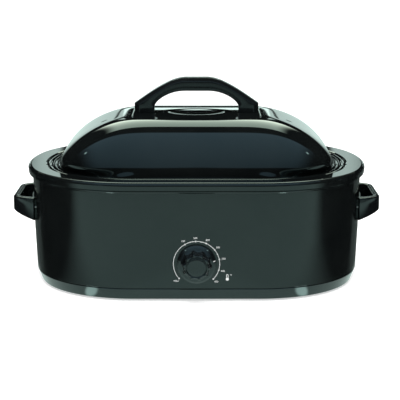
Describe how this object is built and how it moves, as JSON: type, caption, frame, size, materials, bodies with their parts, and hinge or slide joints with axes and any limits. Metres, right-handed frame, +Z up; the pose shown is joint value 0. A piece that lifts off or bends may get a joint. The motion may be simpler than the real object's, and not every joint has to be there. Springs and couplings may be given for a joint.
{
  "type": "electric roaster oven",
  "caption": "Countertop electric roaster: wrapped body with heating well, lift-out pan and rack, high domed lid with arched handle, side handles and front heat control.",
  "frame": {"origin": "on the table under the middle of the whole roaster, feet standing on z = 0", "axes": "+Z up, +X along the length to the right seen from the front, the control knob faces -Y"},
  "size_m": [0.618, 0.4456, 0.3375],
  "materials": {
    "body_enamel": "gloss black enamel",
    "lid_enamel": "high gloss black enamel",
    "well_enamel": "gloss black enamel",
    "pan_enamel": "gloss black porcelain enamel",
    "base_moulding": "satin black moulding",
    "handle_moulding": "satin black moulding",
    "knob_moulding": "satin black moulding",
    "rubber": "matt black",
    "zinc_sheet": "zinc plated",
    "bright_steel": "bright",
    "rack_chrome": "nickel chrome plated wire",
    "heater": "mica and resistance band",
    "insulation": "glass wool",
    "ceramic": "steatite ceramic"
  },
  "bodies": {
    "body": {"base_ring": "base_moulding", "body_wrap": "body_enamel", "well_liner": "well_enamel", "bottom_plate": "zinc_sheet", "rubber_feet": "rubber", "tie_studs": "zinc_sheet", "stud_nuts": "zinc_sheet", "reflector_plate": "bright_steel", "heater_band": "heater", "heater_straps": "bright_steel", "insulation_blanket": "insulation", "side_handle_left": "handle_moulding", "side_handle_right": "handle_moulding", "side_handle_screws": "zinc_sheet", "side_handle_washers": "zinc_sheet", "thermostat_body": "ceramic", "thermostat_bracket": "zinc_sheet", "thermostat_nut": "zinc_sheet", "cord_gland": "rubber", "gland_nut": "zinc_sheet", "terminal_block": "ceramic"},
    "knob": {"control_shaft": "bright_steel", "knob": "knob_moulding", "knob_spring": "bright_steel"},
    "pan": {"pan": "pan_enamel"},
    "rack": {"roasting_rack": "rack_chrome"},
    "lid": {"lid_dome": "lid_enamel", "lid_handle": "handle_moulding", "lid_handle_screws": "zinc_sheet", "lid_handle_washers": "zinc_sheet"}
  },
  "joints": [
    {"name": "knob_turn", "type": "hinge", "parent": "body", "child": "knob", "pos_m": [0, -0.19684, 0.063], "axis": [0, -1, 0], "range_deg": [-55, 209]},
    {"name": "pan_lift", "type": "slide", "parent": "body", "child": "pan", "axis": [0, 0, 1], "range_m": [0, 0.18]},
    {"name": "lid_lift", "type": "slide", "parent": "pan", "child": "lid", "axis": [0, 0, 1], "range_m": [0, 0.15]},
    {"name": "rack_lift", "type": "slide", "parent": "pan", "child": "rack", "axis": [0, 0, 1], "range_m": [0, 0.06]}
  ]
}
